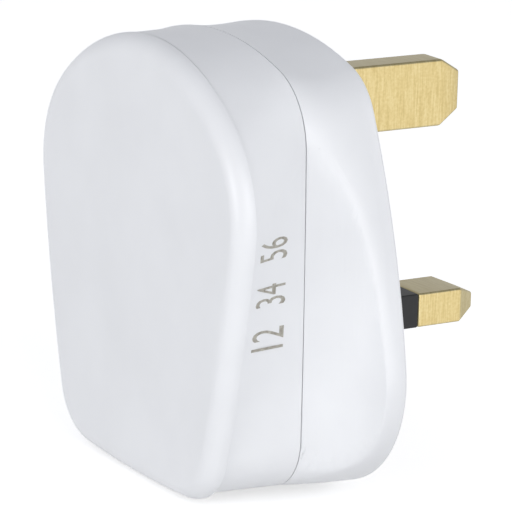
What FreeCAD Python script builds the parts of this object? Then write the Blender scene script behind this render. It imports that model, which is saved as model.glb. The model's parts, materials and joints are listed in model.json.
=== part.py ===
import FreeCAD
import Part
import Sketcher
import math
import os

os.makedirs("parts", exist_ok=True)
doc = FreeCAD.newDocument("uk_three_pin_plug")

# Frame: +X to the right seen from the cover, +Y along the pins, +Z up to the earth pin.
# The pin face is the plane y = 0, and z = 0 is the centre line of the live and neutral pins.
# All lengths are in millimetres. A depth is measured from the pin face into the body.

SIZES = {
    # Depths of the body
    "body_depth": 20.4,
    "lip_height": 2.4,
    "seam_depth": 9.5,
    "flare_depth": 3.5,
    "rim_depth": 1.2,
    # Each outline: how far it stands out beyond the middle of the power pins at its top and
    # foot, how far its top corners lie below the earth pin and its foot corners below the
    # fuse, and the radii of its corners, sides, crown and sole
    # Outline of the cover's face
    "face_top_reach": 12.285,
    "face_top_drop": 8.33,
    "face_top_round": 14.2,
    "face_foot_reach": 7.185,
    "face_foot_drop": 4.37,
    "face_foot_round": 7.6,
    "face_side_round": 200.0,
    "face_crown": 28.0,
    "face_sole": 170.0,
    # Outline of the seam, where cover and base meet
    "seam_top_reach": 8.185,
    "seam_top_drop": 1.13,
    "seam_top_round": 8.7,
    "seam_foot_reach": 8.785,
    "seam_foot_drop": 4.17,
    "seam_foot_round": 6.8,
    "seam_side_round": 900.0,
    "seam_crown": 41.0,
    "seam_sole": 160.0,
    # Outline of the base behind its rim
    "flare_top_reach": 8.6,
    "flare_top_drop": 1.2,
    "flare_top_round": 8.2,
    "flare_foot_reach": 15.085,
    "flare_foot_drop": -1.83,
    "flare_foot_round": 13.0,
    "flare_side_round": 110.0,
    "flare_crown": 41.0,
    "flare_sole": 95.0,
    # Outline of the rim round the pin face
    "rim_top_reach": 7.785,
    "rim_top_drop": 0.53,
    "rim_top_round": 7.9,
    "rim_foot_reach": 15.585,
    "rim_foot_drop": -2.53,
    "rim_foot_round": 13.9,
    "rim_side_round": 104.0,
    "rim_crown": 41.3,
    "rim_sole": 90.0,
    # Outline of the well inside the base
    "well_top_reach": 5.185,
    "well_top_drop": 1.83,
    "well_top_round": 6.5,
    "well_foot_reach": 5.885,
    "well_foot_drop": 3.77,
    "well_foot_round": 4.0,
    "well_side_round": 600.0,
    "well_crown": 38.0,
    "well_sole": 150.0,
    # Walls, edges and joint of the two shells
    "cover_wall": 2.2,
    "cover_seam_wall": 3.9,
    "mouth_wall": 2.5,
    "base_floor": 2.8,
    "face_edge_round": 2.2,
    "lip_step": 0.3,
    "lip_crown_step": 0.08,
    "rim_edge_round": 0.6,
    "tongue_wall": 0.9,
    "tongue_length": 1.2,
    "tongue_gap": 0.15,
    # Finger grips, hollowed out of the base's sides
    "grip_round": 9.0,
    "grip_depth": 11.4,
    "grip_reach": 8.92,
    "overrun": 16.0,
    # Pins
    "pin_pitch": 22.23,
    "earth_pin_width": 4.0,
    "earth_pin_height": 8.0,
    "earth_pin_length": 22.7,
    "earth_tip_run": 3.0,
    "earth_tip_drop": 1.7,
    "earth_tip_side": 0.8,
    "power_pin_width": 6.35,
    "power_pin_height": 4.0,
    "power_pin_length": 17.7,
    "power_tip_run": 2.6,
    "power_tip_drop": 1.1,
    "power_tip_side": 1.5,
    "sleeve_length": 9.3,
    "sleeve_wall": 0.5,
    "pin_gap": 0.05,
    # Pin heads, terminals and terminal screws
    "head_width": 8.0,
    "head_height": 7.0,
    "live_head_margin": 0.5,
    "head_thickness": 2.0,
    "earth_head_height": 9.4,
    "terminal_length": 7.5,
    "wire_hole_round": 1.7,
    "wire_hole_depth": 7.0,
    "terminal_screw_round": 1.5,
    "terminal_screw_head": 2.6,
    "screw_head_length": 1.8,
    "slot_width": 0.8,
    "slot_depth": 1.0,
    "live_post_width": 5.2,
    "live_post_height": 4.6,
    "live_post_drop": 0.76,
    # Fuse, its clips and their rivets
    "fuse_length": 25.4,
    "fuse_round": 3.175,
    "fuse_cap_length": 6.0,
    "fuse_cap_wall": 0.25,
    "fuse_bore": 2.0,
    "fuse_wire_round": 0.2,
    "fuse_end_gap": 1.0,
    "clip_wall": 0.5,
    "clip_width": 4.6,
    "clip_foot_width": 5.0,
    "clip_mouth_angle": 35.0,
    "rivet_round": 1.0,
    "rivet_grip": 1.5,
    # Cover screw, its washer and its insert
    "cover_screw_level": 8.0,
    "cover_screw_round": 2.0,
    "cover_screw_head": 3.8,
    "cover_screw_head_length": 2.4,
    "cover_screw_recess": 3.4,
    "cover_screw_length": 10.3,
    "screw_gap": 0.25,
    "base_boss_round": 5.0,
    "base_boss_gap": 0.2,
    "washer_round": 3.4,
    "washer_thickness": 0.7,
    "insert_round": 3.2,
    "insert_length": 4.6,
    "cover_boss_round": 4.8,
    # Ribs inside the shells
    "rib_wall": 1.0,
    "rib_gap": 0.3,
    "partition_offset": 6.2,
    "partition_drop": 8.73,
    "partition_rise": 4.77,
    "partition_depth": 9.0,
    "fuse_rib_pitch": 7.0,
    "fuse_rib_width": 5.0,
    # Cord grip and cord entry
    "cord_grip_drop": 3.17,
    "cord_bar_length": 26.0,
    "cord_bar_height": 5.0,
    "cord_bar_thickness": 2.2,
    "cord_bar_margin": 3.5,
    "cord_post_round": 2.8,
    "cord_post_depth": 8.5,
    "cord_screw_round": 1.4,
    "cord_screw_length": 6.5,
    "cord_screw_head": 2.6,
    "cord_ridge_pitch": 2.4,
    "cord_ridge_width": 8.0,
    "cord_ridge_height": 1.0,
    "entry_round": 4.0,
    "entry_depth": 7.0,
}

ACROSS = "XZ_Plane"
LEVEL = "XY_Plane"

# Places that several pieces share, from the top down and from the pin face inwards
PIN_OFFSET = "Sizes.pin_pitch / 2"
LIVE_POST = "(Sizes.pin_pitch - Sizes.live_post_drop)"
FUSE_TOP = "(%s - Sizes.live_post_height / 2 - Sizes.fuse_end_gap)" % LIVE_POST
FUSE_FOOT = "(%s - Sizes.fuse_length)" % FUSE_TOP
UPPER_CLIP = "(%s - Sizes.fuse_cap_length / 2)" % FUSE_TOP
LOWER_CLIP = "(%s + Sizes.fuse_cap_length / 2)" % FUSE_FOOT
CORD_GRIP = "(%s - Sizes.cord_grip_drop)" % FUSE_FOOT
CORD_POST = "(Sizes.cord_bar_length / 2 - Sizes.cord_bar_margin)"
FLOOR = "Sizes.base_floor"
RIM = "Sizes.rim_depth"
SEAM = "Sizes.seam_depth"
LIP = "(Sizes.body_depth - Sizes.lip_height)"
HEAD_TOP = "Sizes.base_floor + Sizes.head_thickness"
TERMINAL_TOP = "Sizes.base_floor + Sizes.terminal_length"
FUSE_DEPTH = HEAD_TOP + " + Sizes.clip_wall + Sizes.fuse_round"
BOSS_TOP = "(Sizes.seam_depth - Sizes.washer_thickness - Sizes.base_boss_gap)"
CORD_BAR_TOP = "Sizes.cord_post_depth + Sizes.cord_bar_thickness"
TONGUE_INSET = "Sizes.mouth_wall + Sizes.tongue_gap"


def make_sheet():
    """The sheet of driving dimensions, one named cell for each."""
    page = doc.addObject("Spreadsheet::Sheet", "Sizes")
    for row, (name, value) in enumerate(SIZES.items(), start=1):
        page.set("A%d" % row, name)
        page.set("B%d" % row, str(value))
        page.setAlias("B%d" % row, name)
    doc.recompute()
    return page


sheet = make_sheet()


def value(expression):
    """The number that an expression on the sheet gives now."""
    return float(sheet.evalExpression(expression))


def new_body(label):
    body = doc.addObject("PartDesign::Body", label)
    body.Label = label
    return body


def new_sketch(body, name, role, offset):
    """A sketch on one of the body's own origin planes, moved along its normal."""
    sketch = body.newObject("Sketcher::SketchObject", name)
    plane = next(item for item in body.Origin.OriginFeatures if item.Role == role)
    sketch.AttachmentSupport = [(plane, "")]
    sketch.MapMode = "FlatFace"
    sketch.setExpression("AttachmentOffset.Base.z", offset)
    return sketch


def bind(sketch, expression, kind, *places):
    """Adds a constraint whose value follows the sheet."""
    index = sketch.addConstraint(Sketcher.Constraint(kind, *places, value(expression)))
    sketch.setExpression("Constraints[%d]" % index, expression)


def place(sketch, item, point, across, along):
    """Fixes a point of the sketch at a distance from the sketch's origin."""
    bind(sketch, across, "DistanceX", -1, 1, item, point)
    bind(sketch, along, "DistanceY", -1, 1, item, point)


def add_circle(sketch, across, along, radius):
    centre = FreeCAD.Vector(value(across), value(along), 0)
    circle = Part.Circle(centre, FreeCAD.Vector(0, 0, 1), value(radius))
    item = sketch.addGeometry(circle)
    bind(sketch, radius, "Radius", item)
    place(sketch, item, 3, across, along)


def add_loop(sketch, corners):
    """A closed loop of straight lines through corners that follow the sheet."""
    points = [FreeCAD.Vector(value(across), value(along), 0) for across, along in corners]
    ends = points[1:] + points[:1]
    lines = [sketch.addGeometry(Part.LineSegment(*pair)) for pair in zip(points, ends)]
    for line, following in zip(lines, lines[1:] + lines[:1]):
        sketch.addConstraint(Sketcher.Constraint("Coincident", line, 2, following, 1))
    for line, (across, along) in zip(lines, corners):
        place(sketch, line, 1, across, along)


def add_rectangle(sketch, across, along, width, height):
    """A rectangle about a centre."""
    left = "%s - (%s) / 2" % (across, width)
    right = "%s + (%s) / 2" % (across, width)
    low = "%s - (%s) / 2" % (along, height)
    high = "%s + (%s) / 2" % (along, height)
    add_loop(sketch, [(left, low), (right, low), (right, high), (left, high)])


def pad(body, sketch, length, reverse=False):
    """Extrudes a sketch: deeper into the body or upwards, and the other way when reversed."""
    feature = body.newObject("PartDesign::Pad", sketch.Name + "_pad")
    feature.Profile = sketch
    feature.Reversed = reverse
    feature.setExpression("Length", length)
    return feature


def pocket(body, sketch, length, reverse=False):
    """Cuts a sketch: towards the pin face or downwards, and the other way when reversed."""
    feature = body.newObject("PartDesign::Pocket", sketch.Name + "_pocket")
    feature.Profile = sketch
    feature.Reversed = reverse
    feature.setExpression("Length", length)
    return feature


def loft(body, sections):
    feature = body.newObject("PartDesign::AdditiveLoft", sections[0].Name + "_loft")
    feature.Profile = sections[0]
    feature.Sections = sections[1:]
    return feature


def round_edges(body, feature, depth, radius):
    """Rounds every edge of a feature that lies at one depth."""
    doc.recompute()
    level = -value(depth)
    names = []
    for number, edge in enumerate(feature.Shape.Edges, start=1):
        box = edge.BoundBox
        if abs(box.YMin - level) < 1e-4 and abs(box.YMax - level) < 1e-4:
            names.append("Edge%d" % number)
    fillet = body.newObject("PartDesign::Fillet", feature.Name + "_round")
    fillet.Base = (feature, names)
    fillet.setExpression("Radius", radius)
    return fillet


class Outline:
    """An egg-shaped outline of eight tangent arcs, even about its centre line."""

    def __init__(self, prefix, inset="0"):
        self.names = {}
        for name in ("top_round", "foot_round", "side_round", "crown", "sole"):
            self.names[name] = "Sizes.%s_%s - (%s)" % (prefix, name, inset)
        for end, start in (("top", "Sizes.pin_pitch"), ("foot", FUSE_FOOT)):
            measures = (prefix, end)
            across = "%s + Sizes.%s_%s_reach - Sizes.%s_%s_round"
            self.names[end + "_across"] = across % (PIN_OFFSET, *measures, *measures)
            self.names[end + "_along"] = "%s - Sizes.%s_%s_drop" % (start, *measures)
        for name, expression in self.names.items():
            setattr(self, name, value(expression))

    def centres(self):
        """Centres of the top corner, foot corner, side, crown and sole arcs."""
        top = FreeCAD.Vector(self.top_across, self.top_along, 0)
        foot = FreeCAD.Vector(self.foot_across, self.foot_along, 0)
        to_top = self.side_round - self.top_round
        to_foot = self.side_round - self.foot_round
        apart = foot - top
        run = (to_top ** 2 - to_foot ** 2 + apart.Length ** 2) / (2 * apart.Length)
        swing = math.sqrt(to_top ** 2 - run ** 2)
        unit = apart / apart.Length
        inward = FreeCAD.Vector(unit.y, -unit.x, 0)
        side = top + unit * run + inward * swing
        crown_drop = math.sqrt((self.crown - self.top_round) ** 2 - top.x ** 2)
        sole_rise = math.sqrt((self.sole - self.foot_round) ** 2 - foot.x ** 2)
        crown = FreeCAD.Vector(0, top.y - crown_drop, 0)
        sole = FreeCAD.Vector(0, foot.y + sole_rise, 0)
        return top, foot, side, crown, sole

    def arcs(self):
        """Centre, radius, first and last angle of each arc, anticlockwise from the right."""
        top, foot, side, crown, sole = self.centres()

        def turn(start, end):
            return math.atan2(end.y - start.y, end.x - start.x)

        low = turn(side, foot)
        high = turn(side, top)
        shoulder = turn(crown, top)
        heel = turn(sole, foot)
        right_side = (side, self.side_round, low, high)
        right_top = (top, self.top_round, high, shoulder)
        right_foot = (foot, self.foot_round, heel, low)
        return [
            right_side,
            right_top,
            (crown, self.crown, shoulder, math.pi - shoulder),
            self.mirrored(right_top),
            self.mirrored(right_side),
            self.mirrored(right_foot),
            (sole, self.sole, math.pi - heel, 2 * math.pi + heel),
            right_foot,
        ]

    def mirrored(self, arc):
        centre, radius, start, end = arc
        opposite = FreeCAD.Vector(-centre.x, centre.y, 0)
        return opposite, radius, math.pi - end, math.pi - start

    def wire(self, depth, rise="0"):
        """The outline as a closed wire of arcs at a depth, moved up by a rise."""
        edges = []
        for centre, radius, start, end in self.arcs():
            points = []
            for angle in (start, (start + end) / 2, end):
                across = centre.x + radius * math.cos(angle)
                along = centre.y + radius * math.sin(angle) + value(rise)
                points.append(FreeCAD.Vector(across, -value(depth), along))
            edges.append(Part.Arc(*points).toShape())
        return Part.Wire(edges)


def add_outline(sketch, prefix, inset="0"):
    """Draws one of the plug's outlines, moved in by an inset."""
    shape = Outline(prefix, inset)
    first = len(sketch.Geometry)
    upward = FreeCAD.Vector(0, 0, 1)
    for centre, radius, start, end in shape.arcs():
        circle = Part.Circle(centre, upward, radius)
        sketch.addGeometry(Part.ArcOfCircle(circle, start, end))
    arcs = range(first, first + 8)
    side, top, crown, left_top, left_side, left_foot, sole, foot = arcs
    for arc, following in zip(arcs, (*arcs[1:], side)):
        sketch.addConstraint(Sketcher.Constraint("Tangent", arc, 2, following, 1))
    sketch.addConstraint(Sketcher.Constraint("Symmetric", top, 3, left_top, 3, -2))
    sketch.addConstraint(Sketcher.Constraint("Symmetric", foot, 3, left_foot, 3, -2))
    sketch.addConstraint(Sketcher.Constraint("PointOnObject", crown, 3, -2))
    sketch.addConstraint(Sketcher.Constraint("PointOnObject", sole, 3, -2))
    sketch.addConstraint(Sketcher.Constraint("Equal", side, left_side))
    bind(sketch, shape.names["side_round"], "Radius", side)
    bind(sketch, shape.names["top_round"], "Radius", top)
    bind(sketch, shape.names["foot_round"], "Radius", foot)
    bind(sketch, shape.names["crown"], "Radius", crown)
    bind(sketch, shape.names["sole"], "Radius", sole)
    place(sketch, top, 3, shape.names["top_across"], shape.names["top_along"])
    place(sketch, foot, 3, shape.names["foot_across"], shape.names["foot_along"])


def make_skin(label, *sections):
    """A solid drawn through outlines, each with its inset, depth and rise, arc by arc."""
    wires = [Outline(*section[:2]).wire(*section[2:]) for section in sections]
    feature = doc.addObject("Part::Feature", label)
    feature.Shape = Part.makeLoft(wires, True, len(wires) == 2)
    feature.Placement = FreeCAD.Placement()
    return feature


def cut_away(label, base, tool):
    feature = doc.addObject("Part::Cut", label)
    feature.Base = base
    feature.Tool = tool
    doc.recompute()
    return feature


def body_from(label, blank):
    """A body that starts from a finished blank."""
    body = new_body(label)
    body.BaseFeature = blank
    doc.recompute()
    return body


def make_cover():
    """The crowned shell behind the seam, with a tongue that enters the base."""
    seam_inside = ("seam", "Sizes.cover_seam_wall", SEAM)
    # The side runs up under the lip, so that the step almost fades out at the crown
    rise = "Sizes.lip_step - Sizes.lip_crown_step"
    under_lip = ("face", "Sizes.lip_step", LIP, rise)
    side = make_skin("cover_side", ("seam", "0", SEAM), under_lip)
    inside = make_skin("cover_inside", seam_inside, ("face", "Sizes.cover_wall", LIP))
    body = body_from("cover", cut_away("cover_blank", side, inside))
    face = new_sketch(body, "cover_face", ACROSS, LIP)
    add_outline(face, "face")
    slab = pad(body, face, "Sizes.lip_height")
    round_edges(body, slab, "Sizes.body_depth", "Sizes.face_edge_round")
    tongue = new_sketch(body, "cover_tongue", ACROSS, SEAM)
    add_outline(tongue, "seam", TONGUE_INSET)
    add_outline(tongue, "seam", TONGUE_INSET + " + Sizes.tongue_wall")
    pad(body, tongue, "Sizes.tongue_length", reverse=True)
    add_cover_boss(body)
    add_fuse_ribs(body)
    cut_entry(body, "cover_entry")
    return body


def add_cover_boss(body):
    """The boss that holds the cover screw's insert."""
    boss = new_sketch(body, "insert_boss", ACROSS, SEAM)
    add_circle(boss, "0", "Sizes.cover_screw_level", "Sizes.cover_boss_round")
    pad(body, boss, LIP + " - Sizes.seam_depth")
    seat = new_sketch(body, "insert_seat", ACROSS, SEAM)
    add_circle(seat, "0", "Sizes.cover_screw_level", "Sizes.insert_round")
    pocket(body, seat, "Sizes.insert_length", reverse=True)


def add_fuse_ribs(body):
    """Two ribs under the face that keep the fuse down in its clips."""
    middle = "%s + Sizes.fuse_length / 2" % FUSE_FOOT
    rib_end = FUSE_DEPTH + " + Sizes.fuse_round + Sizes.rib_gap"
    ribs = new_sketch(body, "fuse_ribs", ACROSS, rib_end)
    for sign in ("-", "+"):
        along = "%s %s Sizes.fuse_rib_pitch / 2" % (middle, sign)
        add_rectangle(ribs, PIN_OFFSET, along, "Sizes.fuse_rib_width", "Sizes.rib_wall")
    pad(body, ribs, "%s - (%s)" % (LIP, rib_end))


def cut_entry(body, name):
    """The cord's way through the bottom wall: round below, straight up to the seam."""
    below = "%s - Sizes.seam_foot_drop - Sizes.seam_foot_round - Sizes.overrun" % FUSE_FOOT
    sketch = new_sketch(body, name, LEVEL, below)
    width = value("Sizes.entry_round")
    deep = -value("Sizes.entry_depth")
    mouth = -value(SEAM)
    corners = [
        FreeCAD.Vector(width, deep, 0),
        FreeCAD.Vector(-width, deep, 0),
        FreeCAD.Vector(-width, mouth, 0),
        FreeCAD.Vector(width, mouth, 0),
    ]
    circle = Part.Circle(FreeCAD.Vector(0, deep, 0), FreeCAD.Vector(0, 0, 1), width)
    bow = sketch.addGeometry(Part.ArcOfCircle(circle, 0, math.pi))
    left = sketch.addGeometry(Part.LineSegment(corners[1], corners[2]))
    sill = sketch.addGeometry(Part.LineSegment(corners[2], corners[3]))
    right = sketch.addGeometry(Part.LineSegment(corners[3], corners[0]))
    sketch.addConstraint(Sketcher.Constraint("Tangent", bow, 2, left, 1))
    sketch.addConstraint(Sketcher.Constraint("Coincident", left, 2, sill, 1))
    sketch.addConstraint(Sketcher.Constraint("Coincident", sill, 2, right, 1))
    sketch.addConstraint(Sketcher.Constraint("Tangent", right, 2, bow, 1))
    sketch.addConstraint(Sketcher.Constraint("Vertical", left))
    sketch.addConstraint(Sketcher.Constraint("Horizontal", sill))
    sketch.addConstraint(Sketcher.Constraint("PointOnObject", bow, 3, -2))
    bind(sketch, "Sizes.entry_round", "Radius", bow)
    bind(sketch, "-Sizes.entry_depth", "DistanceY", -1, 1, bow, 3)
    bind(sketch, "-" + SEAM, "DistanceY", -1, 1, sill, 1)
    reach = "Sizes.overrun + Sizes.mouth_wall + Sizes.seam_foot_round / 2"
    pocket(body, sketch, reach, reverse=True)


def make_base():
    """The shell that carries the pins, flared to its rim and hollowed at both sides."""
    rim = ("rim", "0", RIM)
    flare = ("flare", "0", "Sizes.flare_depth")
    outside = make_skin("base_outside", rim, flare, ("seam", "0", SEAM))
    gripped = cut_away("base_gripped", outside, make_grip("1"))
    body = body_from("base", cut_away("base_blank", gripped, make_grip("-1")))
    edge = new_sketch(body, "base_rim", ACROSS, "0")
    add_outline(edge, "rim")
    round_edges(body, pad(body, edge, RIM), "0", "Sizes.rim_edge_round")
    well = new_sketch(body, "base_well", ACROSS, SEAM)
    add_outline(well, "well")
    pocket(body, well, "%s - %s" % (SEAM, FLOOR))
    mouth = new_sketch(body, "base_mouth", ACROSS, SEAM)
    add_outline(mouth, "seam", "Sizes.mouth_wall")
    pocket(body, mouth, "Sizes.tongue_length + Sizes.tongue_gap")
    add_base_boss(body)
    add_cord_posts(body)
    add_partitions(body)
    cut_pin_holes(body)
    cut_entry(body, "base_entry")
    return body


def make_grip(side):
    """The round tool that hollows one side, leaning as the seam's side leans."""
    lean = "(Sizes.seam_foot_reach - Sizes.seam_top_reach)"
    foot = "(%s - Sizes.seam_foot_drop)" % FUSE_FOOT
    rise = "(Sizes.pin_pitch - Sizes.seam_top_drop - %s)" % foot
    beside = "%s + Sizes.seam_foot_reach + Sizes.grip_reach" % PIN_OFFSET
    low_across = "%s + %s * Sizes.overrun / %s" % (beside, lean, rise)
    tool = doc.addObject("Part::Cylinder", "grip_tool")
    tool.setExpression("Radius", "Sizes.grip_round")
    tool.setExpression("Height", "%s + 2 * Sizes.overrun" % rise)
    tool.setExpression("Placement.Base.x", "%s * (%s)" % (side, low_across))
    tool.setExpression("Placement.Base.y", "-Sizes.grip_depth")
    tool.setExpression("Placement.Base.z", "%s - Sizes.overrun" % foot)
    tool.Placement.Rotation.Axis = FreeCAD.Vector(0, 1, 0)
    tool.setExpression("Placement.Rotation.Angle", "%s * atan(-%s / %s)" % (side, lean, rise))
    doc.recompute()
    return tool


def add_base_boss(body):
    """The tube round the cover screw, with the recess for its head in the pin face."""
    boss = new_sketch(body, "screw_boss", ACROSS, FLOOR)
    add_circle(boss, "0", "Sizes.cover_screw_level", "Sizes.base_boss_round")
    pad(body, boss, "%s - Sizes.base_floor" % BOSS_TOP)
    recess = new_sketch(body, "screw_recess", ACROSS, "0")
    radius = "Sizes.cover_screw_head + Sizes.screw_gap"
    add_circle(recess, "0", "Sizes.cover_screw_level", radius)
    pocket(body, recess, "Sizes.cover_screw_recess", reverse=True)
    hole = new_sketch(body, "screw_hole", ACROSS, "0")
    radius = "Sizes.cover_screw_round + Sizes.screw_gap"
    add_circle(hole, "0", "Sizes.cover_screw_level", radius)
    pocket(body, hole, BOSS_TOP, reverse=True)


def add_cord_posts(body):
    """Posts for the cord grip's screws, and the ridges that the cord is pressed on."""
    posts = new_sketch(body, "cord_posts", ACROSS, FLOOR)
    holes = new_sketch(body, "cord_post_holes", ACROSS, "Sizes.cord_post_depth")
    for sign in ("-", ""):
        across = sign + CORD_POST
        add_circle(posts, across, CORD_GRIP, "Sizes.cord_post_round")
        add_circle(holes, across, CORD_GRIP, "Sizes.cord_screw_round")
    pad(body, posts, "Sizes.cord_post_depth - Sizes.base_floor")
    pocket(body, holes, "Sizes.cord_screw_length - Sizes.cord_bar_thickness + Sizes.screw_gap")
    ridges = new_sketch(body, "cord_ridges", ACROSS, FLOOR)
    for sign in ("-", "+"):
        along = "%s %s Sizes.cord_ridge_pitch / 2" % (CORD_GRIP, sign)
        add_rectangle(ridges, "0", along, "Sizes.cord_ridge_width", "Sizes.rib_wall")
    pad(body, ridges, "Sizes.cord_ridge_height")


def add_partitions(body):
    """Two walls that keep the earth terminal's space apart from both sides."""
    walls = new_sketch(body, "partitions", ACROSS, FLOOR)
    middle = "Sizes.pin_pitch + (Sizes.partition_rise - Sizes.partition_drop) / 2"
    height = "Sizes.partition_rise + Sizes.partition_drop"
    for sign in ("-", ""):
        across = sign + "Sizes.partition_offset"
        add_rectangle(walls, across, middle, "Sizes.rib_wall", height)
    pad(body, walls, "Sizes.partition_depth - Sizes.base_floor")


def cut_pin_holes(body):
    """The three slots through the floor that the pins stand in."""
    slots = new_sketch(body, "pin_slots", ACROSS, "0")
    gap = " + 2 * Sizes.pin_gap"
    earth = ("Sizes.earth_pin_width" + gap, "Sizes.earth_pin_height" + gap)
    power = ("Sizes.power_pin_width" + gap, "Sizes.power_pin_height" + gap)
    add_rectangle(slots, "0", "Sizes.pin_pitch", *earth)
    add_rectangle(slots, PIN_OFFSET, "0", *power)
    add_rectangle(slots, "-" + PIN_OFFSET, "0", *power)
    pocket(body, slots, FLOOR, reverse=True)


def add_blade(body, across, along, size, start, end, tip):
    """A pin's blade between two distances in front of the pin face, and its tapered tip."""
    width, height = size
    run, side, drop = tip
    blade = new_sketch(body, "blade", ACROSS, "-(%s)" % start)
    add_rectangle(blade, across, along, width, height)
    pad(body, blade, "%s - (%s) - (%s)" % (end, run, start), reverse=True)
    shoulder = new_sketch(body, "tip_shoulder", ACROSS, "-(%s - %s)" % (end, run))
    add_rectangle(shoulder, across, along, width, height)
    nose = new_sketch(body, "tip_nose", ACROSS, "-(%s)" % end)
    narrow = "%s - 2 * %s" % (width, side)
    low = "%s - 2 * %s" % (height, drop)
    add_rectangle(nose, across, along, narrow, low)
    loft(body, [shoulder, nose])


def add_terminal(body, across, along, width, height):
    """A brass post on the floor, drilled for the wire and for the screw that clamps it."""
    post = new_sketch(body, "post", ACROSS, FLOOR)
    add_rectangle(post, across, along, width, height)
    pad(body, post, "Sizes.terminal_length")
    bottom = "%s - (%s) / 2" % (along, height)
    wire = new_sketch(body, "wire_hole", LEVEL, bottom)
    add_circle(wire, across, "-Sizes.wire_hole_depth", "Sizes.wire_hole_round")
    pocket(body, wire, height, reverse=True)
    thread = new_sketch(body, "screw_hole", ACROSS, TERMINAL_TOP)
    add_circle(thread, across, along, "Sizes.terminal_screw_round")
    pocket(body, thread, "%s - Sizes.wire_hole_depth" % TERMINAL_TOP)


def make_earth_pin():
    body = new_body("earth_pin")
    size = ("Sizes.earth_pin_width", "Sizes.earth_pin_height")
    tip = ("Sizes.earth_tip_run", "Sizes.earth_tip_side", "Sizes.earth_tip_drop")
    add_blade(body, "0", "Sizes.pin_pitch", size, "-" + FLOOR, "Sizes.earth_pin_length", tip)
    add_terminal(body, "0", "Sizes.pin_pitch", "Sizes.head_width", "Sizes.earth_head_height")
    return body


def add_power_blade(body, across):
    """A live or neutral pin's blade, with a thinner neck inside its sleeve."""
    size = ("Sizes.power_pin_width", "Sizes.power_pin_height")
    tip = ("Sizes.power_tip_run", "Sizes.power_tip_side", "Sizes.power_tip_drop")
    end = "Sizes.power_pin_length"
    add_blade(body, across, "0", size, "Sizes.sleeve_length", end, tip)
    neck = new_sketch(body, "neck", ACROSS, "-Sizes.sleeve_length")
    width, height = ("%s - 2 * Sizes.sleeve_wall" % length for length in size)
    add_rectangle(neck, across, "0", width, height)
    pad(body, neck, "Sizes.sleeve_length + Sizes.base_floor")


def make_neutral_pin():
    body = new_body("neutral_pin")
    across = "-" + PIN_OFFSET
    add_power_blade(body, across)
    add_terminal(body, across, "0", "Sizes.head_width", "Sizes.head_height")
    return body


def make_live_pin():
    """The live pin, whose head reaches down under the fuse's lower clip."""
    body = new_body("live_pin")
    add_power_blade(body, PIN_OFFSET)
    head = new_sketch(body, "head", ACROSS, FLOOR)
    bottom = "(%s - Sizes.clip_width / 2 - Sizes.live_head_margin)" % LOWER_CLIP
    middle = "(Sizes.head_height / 2 + %s) / 2" % bottom
    height = "Sizes.head_height / 2 - %s" % bottom
    add_rectangle(head, PIN_OFFSET, middle, "Sizes.head_width", height)
    pad(body, head, "Sizes.head_thickness")
    drill_rivet_hole(body, LOWER_CLIP)
    return body


def drill_rivet_hole(body, level):
    hole = new_sketch(body, "rivet_hole", ACROSS, HEAD_TOP)
    add_circle(hole, PIN_OFFSET, level, "Sizes.rivet_round")
    pocket(body, hole, "Sizes.rivet_grip")


def make_sleeve(label, across):
    """The insulation moulded round a pin's neck, flush with the blade."""
    body = new_body(label)
    ring = new_sketch(body, "ring", ACROSS, FLOOR)
    add_rectangle(ring, across, "0", "Sizes.power_pin_width", "Sizes.power_pin_height")
    width = "Sizes.power_pin_width - 2 * Sizes.sleeve_wall"
    height = "Sizes.power_pin_height - 2 * Sizes.sleeve_wall"
    add_rectangle(ring, across, "0", width, height)
    pad(body, ring, "Sizes.base_floor + Sizes.sleeve_length", reverse=True)
    return body


def make_live_terminal():
    """The live wire's post, on a foot that runs back under the fuse's upper clip."""
    body = new_body("live_terminal")
    add_terminal(body, PIN_OFFSET, LIVE_POST, "Sizes.live_post_width", "Sizes.live_post_height")
    start = "%s - Sizes.clip_width / 2" % UPPER_CLIP
    end = "%s - Sizes.live_post_height / 2" % LIVE_POST
    middle = "(%s + %s) / 2" % (start, end)
    foot = new_sketch(body, "foot", ACROSS, FLOOR)
    add_rectangle(foot, PIN_OFFSET, middle, "Sizes.live_post_width", "%s - (%s)" % (end, start))
    pad(body, foot, "Sizes.head_thickness")
    drill_rivet_hole(body, UPPER_CLIP)
    return body


def make_screw(label, across, along, seat, shank, length, head, head_length, outward=False):
    """A cheese-head screw whose head is on the cover's side, or outward on the pin side."""
    body = new_body(label)
    stem = new_sketch(body, "stem", ACROSS, seat)
    add_circle(stem, across, along, shank)
    pad(body, stem, length, reverse=not outward)
    cap = new_sketch(body, "cap", ACROSS, seat)
    add_circle(cap, across, along, head)
    pad(body, cap, head_length, reverse=outward)
    top = "%s %s %s" % (seat, "-" if outward else "+", head_length)
    slot = new_sketch(body, "slot", ACROSS, top)
    add_rectangle(slot, across, along, "3 * (%s)" % head, "Sizes.slot_width")
    pocket(body, slot, "Sizes.slot_depth", reverse=outward)
    return body


def make_terminal_screw(label, across, along):
    length = "%s - Sizes.wire_hole_depth" % TERMINAL_TOP
    shank = "Sizes.terminal_screw_round"
    head = "Sizes.terminal_screw_head"
    return make_screw(
        label, across, along, TERMINAL_TOP, shank, length, head, "Sizes.screw_head_length"
    )


def make_tube(label, level, length, radius, bore=None):
    """A round piece along the fuse's axis, solid or with a bore through it."""
    body = new_body(label)
    ring = new_sketch(body, "ring", LEVEL, level)
    add_circle(ring, PIN_OFFSET, "-(%s)" % FUSE_DEPTH, radius)
    if bore:
        add_circle(ring, PIN_OFFSET, "-(%s)" % FUSE_DEPTH, bore)
    pad(body, ring, length)
    return body


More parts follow.
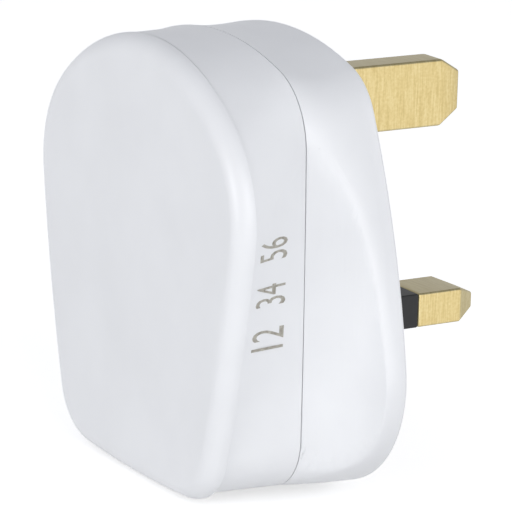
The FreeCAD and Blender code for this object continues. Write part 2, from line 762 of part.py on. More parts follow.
def make_fuse_cap(label, level, mouth_up):
    """A drawn cup over one end of the fuse's tube."""
    body = make_tube(label, level, "Sizes.fuse_cap_length", "Sizes.fuse_round")
    rim = "%s + Sizes.fuse_cap_length" % level if mouth_up else level
    inside = new_sketch(body, "inside", LEVEL, rim)
    bore = "Sizes.fuse_round - Sizes.fuse_cap_wall"
    add_circle(inside, PIN_OFFSET, "-(%s)" % FUSE_DEPTH, bore)
    pocket(body, inside, "Sizes.fuse_cap_length - Sizes.fuse_cap_wall", reverse=not mouth_up)
    return body


def make_fuse():
    """The fuse: a ceramic tube, a cap on each end and the wire between them."""
    inner_foot = "%s + Sizes.fuse_cap_wall" % FUSE_FOOT
    inner_length = "Sizes.fuse_length - 2 * Sizes.fuse_cap_wall"
    radius = "Sizes.fuse_round - Sizes.fuse_cap_wall"
    upper = "%s - Sizes.fuse_cap_length" % FUSE_TOP
    return [
        make_tube("fuse_tube", inner_foot, inner_length, radius, "Sizes.fuse_bore"),
        make_tube("fuse_wire", inner_foot, inner_length, "Sizes.fuse_wire_round"),
        make_fuse_cap("fuse_lower_cap", FUSE_FOOT, True),
        make_fuse_cap("fuse_upper_cap", upper, False),
    ]


def make_clip(label, level):
    """A spring clip: a flat foot and two curved arms that close round a fuse cap."""
    body = new_body(label)
    start = "%s - Sizes.clip_width / 2" % level
    arms = new_sketch(body, "arms", LEVEL, start)
    add_arms(arms)
    pad(body, arms, "Sizes.clip_width")
    foot = new_sketch(body, "foot", ACROSS, HEAD_TOP)
    add_rectangle(foot, PIN_OFFSET, level, "Sizes.clip_foot_width", "Sizes.clip_width")
    pad(body, foot, "Sizes.clip_wall")
    bore = new_sketch(body, "fuse_space", LEVEL, start)
    add_circle(bore, PIN_OFFSET, "-(%s)" % FUSE_DEPTH, "Sizes.fuse_round")
    pocket(body, bore, "Sizes.clip_width", reverse=True)
    hole = new_sketch(body, "rivet_hole", ACROSS, HEAD_TOP)
    add_circle(hole, PIN_OFFSET, level, "Sizes.rivet_round")
    pocket(body, hole, "Sizes.clip_wall", reverse=True)
    return body


def add_arms(sketch):
    """Half the clip's wall on each side of the mouth, from lip to lip round the back."""
    across = value(PIN_OFFSET)
    along = -value(FUSE_DEPTH)
    inner = value("Sizes.fuse_round")
    outer = inner + value("Sizes.clip_wall")
    mouth = math.radians(value("Sizes.clip_mouth_angle"))
    start = mouth - math.pi / 2
    end = 1.5 * math.pi - mouth
    centre = FreeCAD.Vector(across, along, 0)
    upward = FreeCAD.Vector(0, 0, 1)
    outside = sketch.addGeometry(Part.ArcOfCircle(Part.Circle(centre, upward, outer), start, end))
    inside = sketch.addGeometry(Part.ArcOfCircle(Part.Circle(centre, upward, inner), start, end))

    def rim(radius, angle):
        return centre + FreeCAD.Vector(math.cos(angle), math.sin(angle), 0) * radius

    left = sketch.addGeometry(Part.LineSegment(rim(inner, end), rim(outer, end)))
    right = sketch.addGeometry(Part.LineSegment(rim(inner, start), rim(outer, start)))
    for line, end_point in ((left, 2), (right, 1)):
        sketch.addConstraint(Sketcher.Constraint("Coincident", line, 1, inside, end_point))
        sketch.addConstraint(Sketcher.Constraint("Coincident", line, 2, outside, end_point))
    sketch.addConstraint(Sketcher.Constraint("Coincident", inside, 3, outside, 3))
    bind(sketch, "Sizes.fuse_round", "Radius", inside)
    bind(sketch, "Sizes.fuse_round + Sizes.clip_wall", "Radius", outside)
    place(sketch, inside, 3, PIN_OFFSET, "-(%s)" % FUSE_DEPTH)
    half_mouth = "sin(Sizes.clip_mouth_angle * 1deg) * Sizes.fuse_round"
    for end_point, sign in ((1, "+"), (2, "-")):
        edge = "%s %s %s" % (PIN_OFFSET, sign, half_mouth)
        bind(sketch, edge, "DistanceX", -1, 1, inside, end_point)
        outer_edge = edge + " %s sin(Sizes.clip_mouth_angle * 1deg) * Sizes.clip_wall" % sign
        bind(sketch, outer_edge, "DistanceX", -1, 1, outside, end_point)


def make_rivet(label, level):
    """A flush rivet that fixes a clip's foot to the brass under it."""
    body = new_body(label)
    stem = new_sketch(body, "stem", ACROSS, "%s - Sizes.rivet_grip" % HEAD_TOP)
    add_circle(stem, PIN_OFFSET, level, "Sizes.rivet_round")
    pad(body, stem, "Sizes.rivet_grip + Sizes.clip_wall")
    return body


def make_cord_bar():
    """The flat bar that presses the cord on to the base's ridges."""
    body = new_body("cord_grip_bar")
    bar = new_sketch(body, "bar", ACROSS, "Sizes.cord_post_depth")
    add_rectangle(bar, "0", CORD_GRIP, "Sizes.cord_bar_length", "Sizes.cord_bar_height")
    for sign in ("-", ""):
        radius = "Sizes.cord_screw_round + Sizes.screw_gap"
        add_circle(bar, sign + CORD_POST, CORD_GRIP, radius)
    pad(body, bar, "Sizes.cord_bar_thickness")
    return body


def make_cord_screw(label, across):
    return make_screw(
        label, across, CORD_GRIP, CORD_BAR_TOP, "Sizes.cord_screw_round",
        "Sizes.cord_screw_length", "Sizes.cord_screw_head", "Sizes.screw_head_length"
    )


def make_ring(label, depth, length, radius, bore):
    """A ring round the cover screw's axis."""
    body = new_body(label)
    ring = new_sketch(body, "ring", ACROSS, depth)
    add_circle(ring, "0", "Sizes.cover_screw_level", radius)
    add_circle(ring, "0", "Sizes.cover_screw_level", bore)
    pad(body, ring, length)
    return body


def make_cover_fixing():
    """The screw through the base, the washer that keeps it there and its brass insert."""
    screw = make_screw(
        "cover_screw", "0", "Sizes.cover_screw_level", "Sizes.cover_screw_recess",
        "Sizes.cover_screw_round", "Sizes.cover_screw_length", "Sizes.cover_screw_head",
        "Sizes.cover_screw_head_length", outward=True
    )
    bore = "Sizes.cover_screw_round"
    washer = make_ring(
        "cover_screw_washer", BOSS_TOP, "Sizes.washer_thickness",
        "Sizes.washer_round", bore
    )
    insert = make_ring(
        "cover_screw_insert", SEAM, "Sizes.insert_length", "Sizes.insert_round", bore
    )
    return [screw, washer, insert]


def make_all():
    """Every sub-part of the plug, each in its own body."""
    live = PIN_OFFSET
    neutral = "-" + PIN_OFFSET
    return [
        make_cover(),
        make_base(),
        make_earth_pin(),
        make_live_pin(),
        make_neutral_pin(),
        make_sleeve("live_pin_sleeve", live),
        make_sleeve("neutral_pin_sleeve", neutral),
        make_live_terminal(),
        make_terminal_screw("earth_terminal_screw", "0", "Sizes.pin_pitch"),
        make_terminal_screw("live_terminal_screw", live, LIVE_POST),
        make_terminal_screw("neutral_terminal_screw", neutral, "0"),
        *make_fuse(),
        make_clip("lower_fuse_clip", LOWER_CLIP),
        make_clip("upper_fuse_clip", UPPER_CLIP),
        make_rivet("lower_clip_rivet", LOWER_CLIP),
        make_rivet("upper_clip_rivet", UPPER_CLIP),
        make_cord_bar(),
        make_cord_screw("cord_grip_screw_left", "-" + CORD_POST),
        make_cord_screw("cord_grip_screw_right", CORD_POST),
        *make_cover_fixing(),
    ]


def check(bodies):
    """Stops the build if any object failed or any sub-part is not one sound solid."""
    doc.recompute()
    for item in doc.Objects:
        if "Invalid" in item.State or "Error" in item.State:
            raise SystemExit("%s failed: %s" % (item.Name, item.State))
    for body in bodies:
        if body.Shape.isNull() or not body.Shape.isValid():
            raise SystemExit("%s has no sound shape" % body.Label)
        if len(body.Shape.Solids) != 1:
            raise SystemExit("%s has %d solids" % (body.Label, len(body.Shape.Solids)))


def export(bodies):
    for body in bodies:
        body.Shape.exportStep("parts/%s.step" % body.Label)


bodies = make_all()
check(bodies)
export(bodies)
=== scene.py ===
import json
import math

import bmesh
import bpy
from mathutils import Matrix, Vector
from mathutils.bvhtree import BVHTree
from mathutils.kdtree import KDTree


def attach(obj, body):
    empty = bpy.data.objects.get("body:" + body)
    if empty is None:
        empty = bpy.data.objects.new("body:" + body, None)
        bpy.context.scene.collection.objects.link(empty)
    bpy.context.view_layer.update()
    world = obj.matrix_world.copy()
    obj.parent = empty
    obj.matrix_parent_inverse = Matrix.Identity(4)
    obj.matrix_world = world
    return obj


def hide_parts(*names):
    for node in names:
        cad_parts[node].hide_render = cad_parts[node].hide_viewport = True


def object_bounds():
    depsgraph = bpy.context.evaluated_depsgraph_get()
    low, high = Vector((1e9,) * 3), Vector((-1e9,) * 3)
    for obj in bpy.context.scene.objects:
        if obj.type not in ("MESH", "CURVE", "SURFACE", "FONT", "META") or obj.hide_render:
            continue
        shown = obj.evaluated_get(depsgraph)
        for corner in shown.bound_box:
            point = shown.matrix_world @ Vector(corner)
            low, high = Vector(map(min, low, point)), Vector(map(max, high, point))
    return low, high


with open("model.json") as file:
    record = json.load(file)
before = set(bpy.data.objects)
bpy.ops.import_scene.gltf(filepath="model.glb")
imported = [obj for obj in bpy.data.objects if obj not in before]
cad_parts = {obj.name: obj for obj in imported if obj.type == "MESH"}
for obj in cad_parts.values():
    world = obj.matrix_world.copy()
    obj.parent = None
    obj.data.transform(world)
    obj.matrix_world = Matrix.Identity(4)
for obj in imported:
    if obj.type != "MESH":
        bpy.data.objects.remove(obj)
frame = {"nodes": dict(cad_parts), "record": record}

cad_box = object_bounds()

# Real sizes, in metres; a depth is measured from the pin face into the body
MM = 0.001
RIM_DEPTH = 1.2 * MM
SEAM_DEPTH = 9.5 * MM

# Edges rounded on the finished pieces, as moulding, shearing and tumbling leave them
COVER_EDGE = 0.07 * MM
BASE_EDGE = 0.16 * MM
PIN_EDGE = 0.3 * MM
SLEEVE_EDGE = 0.18 * MM
SCREW_EDGE = 0.12 * MM
GRIP_BAR_EDGE = 0.12 * MM
EDGE_STEPS = 3

# Edges sharper than the first angle are rounded, and faces that meet at less than the second
# are joined
SHARP_ANGLE = math.radians(28)
FLAT_ANGLE = math.radians(0.6)
# Points nearer than the first length are merged, and edges shorter than the second taken out
MERGE_DISTANCE = 0.002 * MM
SLIVER = 0.004 * MM

# The gap that shows round the seam, at its mouth
SEAM_GAP = 0.08 * MM
# A face of the cover counts as its side while the forward part of its normal is under this
SIDE_LEAN = 0.7

# The round tool of each finger grip: its radius, its depth, and its axis at two levels, each
# as the distance from the centre plane and the height
GRIP_ROUND = 9.0 * MM
GRIP_DEPTH = 11.4 * MM
GRIP_FOOT = (28.82 * MM, -11.4 * MM)
GRIP_TOP = (28.22 * MM, 21.1 * MM)
# The ridge round a grip is smoothed in a border: how near to the tool a point lies on it, how
# deep the border runs and how wide it is, the length to which its mesh is cut and the rounds
# of cutting, how often and how strongly it is smoothed, and how many of the steps along an
# edge of the ridge are taken
ON_TOOL = 0.01 * MM
BORDER_DEPTH = 9.3 * MM
BORDER_WIDTH = 1.0 * MM
BORDER_MESH = 0.3 * MM
BORDER_CUTS = 5
BORDER_PASSES = 16
BORDER_PULL = 0.5
RIDGE_STEPS = 6

# Plain numbers stamped on the cover's live side: each pair and the height of its middle, the
# depth at the digits' feet, a digit's height and a pair's length, and the film's thickness
STAMP_PAIRS = (("12", 1.2 * MM), ("34", 6.3 * MM), ("56", 11.5 * MM))
STAMP_FOOT_DEPTH = 12.3 * MM
STAMP_HEIGHT = 4.5 * MM
STAMP_LENGTH = 2.5 * MM
STAMP_THICKNESS = 0.02 * MM
# The steps of a digit's curves, and the gap between its points, in the text's units, that closes
STAMP_CURVE_STEPS = 3
STAMP_MERGE = 1e-4

# The studio: the room's light, the floor, and each lamp's place and size in metres and its
# power in watts
ROOM_STRENGTH = 0.93
FLOOR_RADIUS = 1.5
FLOOR_CORNERS = 96
FLOOR_GLOW = 0.55
LAMPS = {
    "face_lamp": ((0.10, -0.60, 0.12), 0.25, 0.9),
    "side_lamp": ((0.55, -0.05, 0.12), 0.4, 1.4),
}

# The photograph's view: where the camera stands and what it looks at
VIEW_AZIMUTH = math.radians(58.77)
VIEW_ELEVATION = math.radians(14.52)
VIEW_ROLL = math.radians(1.45)
VIEW_DISTANCE = 400 * MM
VIEW_TARGET = Vector((-6.48, 0.0, 2.65)) * MM
VIEW_FOCAL_PIXELS = 3393
PICTURE_PIXELS = 512
SENSOR_WIDTH = 36


def linear(code):
    """An sRGB hex colour as the linear colour that shaders take."""
    channels = [int(code[start:start + 2], 16) / 255 for start in (0, 2, 4)]
    return [c / 12.92 if c <= 0.04045 else ((c + 0.055) / 1.055) ** 2.4 for c in channels] + [1]


def new_material(name):
    """A new material that holds no nodes yet."""
    material = bpy.data.materials.new(name)
    material.use_nodes = True
    material.node_tree.nodes.clear()
    return material


def add(material, kind, settings=None, links=None):
    """A new shader node with its properties, socket values and links from other sockets."""
    tree = material.node_tree
    node = tree.nodes.new("ShaderNode" + kind)
    for name, setting in (settings or {}).items():
        if isinstance(name, int) or name in node.inputs:
            node.inputs[name].default_value = setting
        else:
            setattr(node, name, setting)
    for name, source in (links or {}).items():
        tree.links.new(source, node.inputs[name])
    return node


def per_metre(spacing):
    """The scale of a noise pattern whose blotches come at a real spacing."""
    return 1 / spacing


def ramp(material, source, stops):
    """A colour ramp over a factor, with its stops given as place and colour."""
    node = add(material, "ValToRGB", links={"Fac": source})
    elements = node.color_ramp.elements
    for element, (place, colour) in zip(elements, stops):
        element.position = place
        element.color = colour
    for place, colour in stops[len(elements):]:
        elements.new(place).color = colour
    return node


def finish_surface(material, shader):
    """Joins a surface shader to the material's output, and gives back the material."""
    add(material, "OutputMaterial", links={"Surface": shader.outputs["BSDF"]})
    return material


def mesh_of(work, name):
    """The finished mesh of a bmesh, which is freed."""
    mesh = bpy.data.meshes.new(name)
    work.to_mesh(mesh)
    work.free()
    return mesh


def place_in_scene(name, data):
    """A new object in the scene for a mesh, a lamp or a camera."""
    thing = bpy.data.objects.new(name, data)
    bpy.context.scene.collection.objects.link(thing)
    return thing


def white_moulding():
    """White urea plastic, moulded in a polished tool: a soft gloss over faint ripples."""
    material = new_material("white_urea_moulded")
    place = add(material, "TexCoord").outputs["Object"]
    cloud = add(material, "TexNoise", {"Scale": per_metre(9 * MM), "Detail": 2.0},
                {"Vector": place}).outputs["Fac"]
    grain = add(material, "TexNoise", {"Scale": per_metre(0.7 * MM), "Detail": 3.0},
                {"Vector": place}).outputs["Fac"]
    colour = ramp(material, cloud, [(0.3, linear("E6E7E9")), (0.7, linear("EAEBED"))])
    gloss = add(material, "MapRange", {"To Min": 0.30, "To Max": 0.42}, {"Value": grain})
    relief = add(material, "Bump", {"Strength": 0.05, "Distance": 0.02 * MM}, {"Height": grain})
    shader = add(material, "BsdfPrincipled", {"IOR": 1.5}, {
        "Base Color": colour.outputs["Color"],
        "Roughness": gloss.outputs["Result"],
        "Normal": relief.outputs["Normal"],
    })
    return finish_surface(material, shader)


def pin_brass():
    """Brass bar, milled, cut off by shearing and tumbled: fine streaks across a bright satin
    skin.
    """
    material = new_material("pin_brass_milled")
    place = add(material, "TexCoord").outputs["Object"]
    # Cutter marks are about 0.05 mm apart, and drawn at 0.18 mm so that they show
    across = add(material, "Mapping", {"Scale": (0.06, 1.0, 0.06)}, {"Vector": place})
    streak = add(material, "TexNoise", {"Scale": per_metre(0.18 * MM), "Detail": 3.0},
                 {"Vector": across.outputs["Vector"]}).outputs["Fac"]
    mottle = add(material, "TexNoise", {"Scale": per_metre(0.3 * MM), "Detail": 3.0},
                 {"Vector": place}).outputs["Fac"]
    # Six tenths of the pattern are streaks, and four tenths are mottle
    mottled = add(material, "Math", {"operation": "MULTIPLY", 1: 0.4}, {0: mottle})
    mixed = add(material, "Math", {"operation": "MULTIPLY_ADD", 1: 0.6},
                {0: streak, 2: mottled.outputs["Value"]})
    colour = ramp(material, mixed.outputs["Value"],
                  [(0.36, linear("CFB97F")), (0.5, linear("DBC68D")), (0.64, linear("E4D29D"))])
    # Painted shade: the faces above, below and at the tip get a grey-blue tint that makes them
    # darker than the sides, standing in for the darker room they reflect
    normal = add(material, "NewGeometry").outputs["Normal"]
    sideways = add(material, "SeparateXYZ", links={"Vector": normal}).outputs["X"]
    to_a_side = add(material, "Math", {"operation": "ABSOLUTE"}, {0: sideways})
    painted_shade_mask = add(material, "MapRange",
                  {"From Min": 0.9, "From Max": 0.99, "To Min": 1.0, "To Max": 0.0},
                  {"Value": to_a_side.outputs["Value"]})
    # Painted shade: the brass colour multiplied by grey-blue where the face does not point
    # sideways
    painted_shade_colour = add(material, "MixRGB", {"blend_type": "MULTIPLY", "Color2": linear("D8DEEA")},
                 {"Fac": painted_shade_mask.outputs["Result"], "Color1": colour.outputs["Color"]})
    gloss = add(material, "MapRange", {"To Min": 0.26, "To Max": 0.44}, {"Value": mottle})
    relief = add(material, "Bump", {"Strength": 0.2, "Distance": 0.01 * MM}, {"Height": streak})
    shader = add(material, "BsdfPrincipled", {"Metallic": 1.0}, {
        "Base Color": painted_shade_colour.outputs["Color"],
        "Roughness": gloss.outputs["Result"],
        "Normal": relief.outputs["Normal"],
    })
    return finish_surface(material, shader)


def stamp_ink():
    """Grey-brown ink, stamped on the glossy moulding: thin and a little uneven."""
    material = new_material("stamp_ink_printed")
    place = add(material, "TexCoord").outputs["Object"]
    patch = add(material, "TexNoise", {"Scale": per_metre(0.5 * MM), "Detail": 2.0},
                {"Vector": place}).outputs["Fac"]
    colour = ramp(material, patch, [(0.3, linear("8F8B80")), (0.7, linear("B9B5AB"))])
    shader = add(material, "BsdfPrincipled", {"Roughness": 0.6},
                 {"Base Color": colour.outputs["Color"]})
    return finish_surface(material, shader)


def speckled(name, dark, light, spacing, smooth, rough, metallic=0.0, relief_depth=0.01 * MM):
    """A plain finish with a fine speckle in its colour, its gloss and its relief."""
    material = new_material(name)
    place = add(material, "TexCoord").outputs["Object"]
    speckle = add(material, "TexNoise", {"Scale": per_metre(spacing), "Detail": 4.0},
                  {"Vector": place}).outputs["Fac"]
    colour = ramp(material, speckle, [(0.35, linear(dark)), (0.65, linear(light))])
    gloss = add(material, "MapRange", {"To Min": smooth, "To Max": rough}, {"Value": speckle})
    relief = add(material, "Bump", {"Strength": 0.3, "Distance": relief_depth},
                 {"Height": speckle})
    shader = add(material, "BsdfPrincipled", {"Metallic": metallic}, {
        "Base Color": colour.outputs["Color"],
        "Roughness": gloss.outputs["Result"],
        "Normal": relief.outputs["Normal"],
    })
    return finish_surface(material, shader)


def grip_ridge(work, side):
    """Points along the ridge where one finger grip meets the skin on its pin side."""
    foot = Vector((side * GRIP_FOOT[0], -GRIP_DEPTH, GRIP_FOOT[1]))
    top = Vector((side * GRIP_TOP[0], -GRIP_DEPTH, GRIP_TOP[1]))
    axis = (top - foot).normalized()

    def on_tool(vertex):
        arm = vertex.co - foot
        return abs((arm - axis * arm.dot(axis)).length - GRIP_ROUND) < ON_TOOL

    hollow = {face for face in work.faces if all(on_tool(v) for v in face.verts)}
    points = []
    for edge in work.edges:
        inside = [face in hollow for face in edge.link_faces]
        if sum(inside) == 1 and all(v.co.y > -BORDER_DEPTH for v in edge.verts):
            start, end = (v.co for v in edge.verts)
            steps = max(2, math.ceil(edge.calc_length() / BORDER_MESH))
            taken = min(steps, RIDGE_STEPS)
            points += [start.lerp(end, step / steps) for step in range(taken + 1)]
    ridge = KDTree(len(points))
    for number, point in enumerate(points):
        ridge.insert(point, number)
    ridge.balance()
    return ridge


def beside(ridge, point):
    """Whether a point lies in the border that is smoothed along a ridge."""
    return ridge.find(point)[2] < BORDER_WIDTH


def split_wide_faces(work):
    """Makes triangles of every face with more corners."""
    bmesh.ops.triangulate(work, faces=[face for face in work.faces if len(face.verts) > 3])


def cut_border(work, ridge):
    """Divides the edges beside a ridge, round by round, until the mesh is fine there."""
    for _ in range(BORDER_CUTS):
        cutting = []
        for edge in work.edges:
            start, end = (v.co for v in edge.verts)
            length = (end - start).length
            if length > BORDER_MESH:
                parts = math.ceil(length / BORDER_WIDTH)
                if any(beside(ridge, start.lerp(end, n / parts)) for n in range(parts + 1)):
                    cutting.append(edge)
        bmesh.ops.subdivide_edges(work, edges=cutting, cuts=1)
        split_wide_faces(work)


def smooth_border(work, ridge):
    """Smooths the points beside a ridge, between the rim and the depth where it ends."""
    soft = [v for v in work.verts
            if -BORDER_DEPTH < v.co.y < -RIM_DEPTH and beside(ridge, v.co)]
    for _ in range(BORDER_PASSES):
        bmesh.ops.smooth_vert(work, verts=soft, factor=BORDER_PULL, use_axis_x=True,
                              use_axis_y=True, use_axis_z=True)


def soften_grips(work):
    """Rounds the long ridge of both finger grips into a soft border, and gives the ridges."""
    ridges = []
    for side in (-1, 1):
        ridge = grip_ridge(work, side)
        cut_border(work, ridge)
        smooth_border(work, ridge)
        ridges.append(ridge)
    bmesh.ops.remove_doubles(work, verts=work.verts, dist=SLIVER)
    bmesh.ops.dissolve_degenerate(work, dist=SLIVER, edges=work.edges)
    split_wide_faces(work)
    return ridges


def is_soft(edge, ridges):
    """Whether an edge lies in a border that is already smoothed."""
    middle = (edge.verts[0].co + edge.verts[1].co) / 2
    return middle.y > -BORDER_DEPTH and any(beside(ridge, middle) for ridge in ridges)


def on_side(face, point):
    """Whether a face beside a point of the cover belongs to its outer side."""
    outwards = Vector((point.x, 0, point.z))
    return -face.normal.y < SIDE_LEAN and face.normal.dot(outwards) > 0


def open_seam(work):
    """Draws the cover's outer edge back from the base, so that a thin dark gap shows."""
    ledge = {face for face in work.faces
             if all(abs(v.co.y + SEAM_DEPTH) < MERGE_DISTANCE for v in face.verts)}
    outside = {v for face in ledge for edge in face.edges for v in edge.verts
               if any(on_side(other, v.co) for other in edge.link_faces if other not in ledge)}
    bmesh.ops.translate(work, vec=(0, -SEAM_GAP, 0), verts=list(outside))


def soften(node, name, width):
    """A copy of a CAD piece whose sharp edges are rounded by a small width."""
    work = bmesh.new()
    work.from_mesh(frame["nodes"][node].data)
    bmesh.ops.remove_doubles(work, verts=work.verts, dist=MERGE_DISTANCE)
    ridges = []
    if node == "base":
        ridges = soften_grips(work)
    elif node == "cover":
        open_seam(work)
    bmesh.ops.dissolve_limit(
        work, angle_limit=FLAT_ANGLE, verts=work.verts, edges=work.edges, delimit={"NORMAL"}
    )
    sharp = [e for e in work.edges if e.is_manifold and e.calc_face_angle() > SHARP_ANGLE
             and not is_soft(e, ridges)]
    if node in PINS:
        # Only the blade is tumbled smooth, not the terminal inside the body
        sharp = [e for e in sharp if any(v.co.y > 0 for v in e.verts)]
    bmesh.ops.bevel(
        work, geom=sharp, offset=width, offset_type="OFFSET", affect="EDGES",
        segments=EDGE_STEPS, profile=0.5, material=-1, clamp_overlap=True
    )
    bmesh.ops.dissolve_degenerate(work, dist=SLIVER, edges=work.edges)
    mesh = mesh_of(work, name)
    for face in mesh.polygons:
        face.use_smooth = True
    mesh.set_sharp_from_angle(angle=SHARP_ANGLE)
    piece = place_in_scene(name, mesh)
    even = piece.modifiers.new("even_shading", "WEIGHTED_NORMAL")
    even.keep_sharp = True
    return piece


def fit(piece, node, material):
    """Puts a finished piece in the place of its CAD node."""
    piece.data.materials.clear()
    piece.data.materials.append(material)
    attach(piece, "root")
    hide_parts(node)


def make_finishes():
    """Every material of the plug, by its slot in the record."""
    return {
        "white_moulding": white_moulding(),
        "pin_brass": pin_brass(),
        # Nylon moulded round the pins: near black, with a dull sheen
        "pin_sleeve": speckled("sleeve_nylon_moulded", "0C0C0E", "151517", 0.5 * MM, 0.42, 0.55),
        # Brass bar, sawn and drilled: a duller yellow than the pins
        "terminal_brass": speckled(
            "terminal_brass_sawn", "A58A4E", "C9AE6C", 0.4 * MM, 0.30, 0.45, 1.0),
        # Zinc-plated steel: a cool grey with a satin gloss
        "plated_steel": speckled(
            "screw_steel_zinc_plated", "A9ADB3", "CDD1D6", 0.3 * MM, 0.25, 0.40, 1.0),
        # Steatite, fired and unglazed: chalky cream
        "fuse_ceramic": speckled("fuse_steatite_fired", "E2DDCF", "EFEBDF", 0.6 * MM, 0.6, 0.75),
        # Drawn copper wire, tinned: a thin bright grey line
        "fuse_wire": speckled("fuse_wire_tinned", "B9B2A4", "D5CEC0", 0.2 * MM, 0.25, 0.35, 1.0),
        # Brass cups, drawn and nickel plated: bright and slightly warm
        "fuse_cap_plate": speckled(
            "fuse_cap_nickel_plated", "BDB8AE", "DAD6CC", 0.8 * MM, 0.15, 0.28, 1.0),
        # Phosphor bronze strip, rolled and bent: a redder brown than brass
        "clip_brass": speckled(
            "clip_bronze_rolled", "A97F4B", "C89A62", 0.5 * MM, 0.25, 0.38, 1.0),
        # Vulcanised fibre, punched from sheet: a brick red, matt and a little woolly
        "grip_bar_fibre": speckled(
            "grip_bar_fibre_punched", "7E3B30", "95493B", 0.4 * MM, 0.65, 0.8,
            relief_depth=0.04 * MM),
        "washer_fibre": speckled(
            "washer_fibre_punched", "74352B", "8B4336", 0.4 * MM, 0.65, 0.8,
            relief_depth=0.04 * MM),
    }


# The pins, of which only the blades are rounded
PINS = ("earth_pin", "live_pin", "neutral_pin")

# Each piece whose edges are rounded: its CAD node, its name here and the rounding's width
SOFTENED = {
    "cover": ("cover_shell", COVER_EDGE),
    "base": ("base_shell", BASE_EDGE),
    "earth_pin": ("earth_pin_blade", PIN_EDGE),
    "live_pin": ("live_pin_blade", PIN_EDGE),
    "neutral_pin": ("neutral_pin_blade", PIN_EDGE),
    "live_pin_sleeve": ("live_sleeve_moulding", SLEEVE_EDGE),
    "neutral_pin_sleeve": ("neutral_sleeve_moulding", SLEEVE_EDGE),
    "cover_screw": ("cover_screw_slotted", SCREW_EDGE),
    "cord_grip_bar": ("cord_grip_bar_punched", GRIP_BAR_EDGE),
    "cord_grip_screw_left": ("cord_grip_screw_left_slotted", SCREW_EDGE),
    "cord_grip_screw_right": ("cord_grip_screw_right_slotted", SCREW_EDGE),
}


def node_slots():
    """The record's material slot of each CAD node."""
    return {part["node"]: part["material_slot"] for part in frame["record"]["subparts"]}


def dress_plug(finishes):
    """Gives every piece its finish, and the ones that show their rounded edges."""
    for node, slot in node_slots().items():
        if node in SOFTENED:
            name, width = SOFTENED[node]
            fit(soften(node, name, width), node, finishes[slot])
        else:
            shown = frame["nodes"][node]
            shown.data.materials.clear()
            shown.data.materials.append(finishes[slot])


def flat_digits(digits):
    """A pair of digits as a flat bmesh in the plane of its text."""
    text = bpy.data.curves.new("stamp_text", "FONT")
    text.body = digits
    text.resolution_u = STAMP_CURVE_STEPS
    writing = place_in_scene("stamp_text", text)
    bpy.context.view_layer.update()
    flat = bpy.data.meshes.new_from_object(writing)
    bpy.data.objects.remove(writing)
    work = bmesh.new()
    work.from_mesh(flat)
    bmesh.ops.remove_doubles(work, verts=work.verts, dist=STAMP_MERGE)
    return work


def stamp_pair(digits, level, skin):
    """One pair of digits, read upwards, laid on the cover's side as a thin printed film."""
    work = flat_digits(digits)
    left, low = (min(v.co[axis] for v in work.verts) for axis in (0, 1))
    right, high = (max(v.co[axis] for v in work.verts) for axis in (0, 1))
    for vertex in work.verts:
        along = level + ((vertex.co.x - left) / (right - left) - 0.5) * STAMP_LENGTH
        depth = STAMP_FOOT_DEPTH + (vertex.co.y - low) / (high - low) * STAMP_HEIGHT
        outside = Vector((cad_box[1][0], -depth, along))
        vertex.co = skin.ray_cast(outside, Vector((-1, 0, 0)))[0]
    bmesh.ops.recalc_face_normals(work, faces=work.faces)
    if sum(f.normal.x for f in work.faces) < 0:
        bmesh.ops.reverse_faces(work, faces=work.faces)
    film = bmesh.ops.extrude_face_region(work, geom=work.faces[:])
    raised = [item for item in film["geom"] if isinstance(item, bmesh.types.BMVert)]
    bmesh.ops.translate(work, vec=(STAMP_THICKNESS, 0, 0), verts=raised)
    return mesh_of(work, "stamp_" + digits)


def stamp_cover(material):
    """Prints the pairs of plain numbers on the cover's live side."""
    cover = bmesh.new()
    cover.from_mesh(frame["nodes"]["cover"].data)
    skin = BVHTree.FromBMesh(cover)
    cover.free()
    for digits, level in STAMP_PAIRS:
        mesh = stamp_pair(digits, level, skin)
        mesh.materials.append(material)
        piece = place_in_scene(mesh.name, mesh)
        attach(piece, "root")


def make_floor():
    """A wide pale floor just under the plug, which stays white and keeps the shadow."""
    work = bmesh.new()
    bmesh.ops.create_circle(work, cap_ends=True, segments=FLOOR_CORNERS, radius=FLOOR_RADIUS)
    lowest = cad_box[0][2]
    bmesh.ops.translate(work, vec=(0, 0, lowest), verts=work.verts)
    floor = place_in_scene("floor", mesh_of(work, "floor"))
    material = new_material("floor_paper")
    rays = add(material, "LightPath")
    seen = add(material, "Math", {"operation": "MAXIMUM"}, {
        0: rays.outputs["Is Camera Ray"], 1: rays.outputs["Is Glossy Ray"]})
    lift = add(material, "Math", {"operation": "MULTIPLY", 1: FLOOR_GLOW},
               {0: seen.outputs["Value"]})
    paper = add(material, "BsdfDiffuse", {"Color": linear("E8E8E8")})
    glow = add(material, "Emission", {"Color": (1, 1, 1, 1)}, {"Strength": lift.outputs["Value"]})
    both = add(material, "AddShader", links={
        0: paper.outputs["BSDF"], 1: glow.outputs["Emission"]})
    add(material, "OutputMaterial", links={"Surface": both.outputs["Shader"]})
    floor.data.materials.append(material)


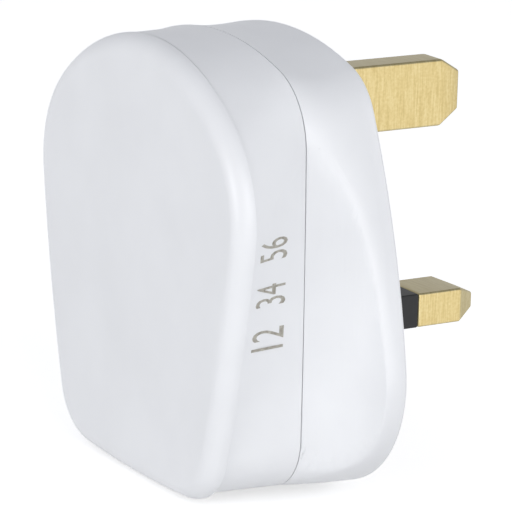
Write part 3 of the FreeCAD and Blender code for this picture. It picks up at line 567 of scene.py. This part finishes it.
def add_lamp(name, place, size, power):
    """A square soft white lamp that stands at a place and faces the plug."""
    lamp = bpy.data.lights.new(name, "AREA")
    lamp.shape = "SQUARE"
    lamp.size = size
    lamp.energy = power
    stand = place_in_scene(name, lamp)
    stand.location = place
    stand.rotation_euler = Vector(place).to_track_quat("Z", "Y").to_euler()


def light_studio():
    """A soft room, brighter to the sides than overhead, and a lamp for each side seen."""
    world = bpy.data.worlds.new("studio")
    bpy.context.scene.world = world
    world.use_nodes = True
    world.node_tree.nodes.clear()
    direction = add(world, "TexCoord").outputs["Generated"]
    height = add(world, "SeparateXYZ", links={"Vector": direction}).outputs["Z"]
    sky = ramp(world, height, [(0.1, linear("F4F5F8")), (0.8, linear("B0B2B8"))])
    rays = add(world, "LightPath")
    around = add(world, "Background", {"Strength": ROOM_STRENGTH},
                 {"Color": sky.outputs["Color"]})
    seen = add(world, "Background", {"Color": (1, 1, 1, 1), "Strength": 1.0})
    pick = add(world, "MixShader", links={
        0: rays.outputs["Is Camera Ray"],
        1: around.outputs["Background"],
        2: seen.outputs["Background"],
    })
    add(world, "OutputWorld", links={"Surface": pick.outputs["Shader"]})
    for name, (place, size, power) in LAMPS.items():
        add_lamp(name, place, size, power)


def set_camera():
    """Looks at the plug from its live side, past the cover, as the photograph does."""
    flat = math.cos(VIEW_ELEVATION)
    back = Vector((math.sin(VIEW_AZIMUTH) * flat, -math.cos(VIEW_AZIMUTH) * flat,
                   math.sin(VIEW_ELEVATION)))
    right = Vector((math.cos(VIEW_AZIMUTH), math.sin(VIEW_AZIMUTH), 0))
    up = back.cross(right)
    turn, lean = math.cos(VIEW_ROLL), math.sin(VIEW_ROLL)
    axes = Matrix((right * turn + up * lean, up * turn - right * lean, back)).transposed()
    lens = bpy.data.cameras.new("camera")
    lens.sensor_width = SENSOR_WIDTH
    lens.lens = VIEW_FOCAL_PIXELS / PICTURE_PIXELS * SENSOR_WIDTH
    camera = place_in_scene("camera", lens)
    camera.matrix_world = Matrix.Translation(VIEW_TARGET + back * VIEW_DISTANCE) @ axes.to_4x4()
    bpy.context.scene.camera = camera


dress_plug(make_finishes())
stamp_cover(stamp_ink())
make_floor()
light_studio()
set_camera()
bpy.context.scene.view_settings.view_transform = "Standard"
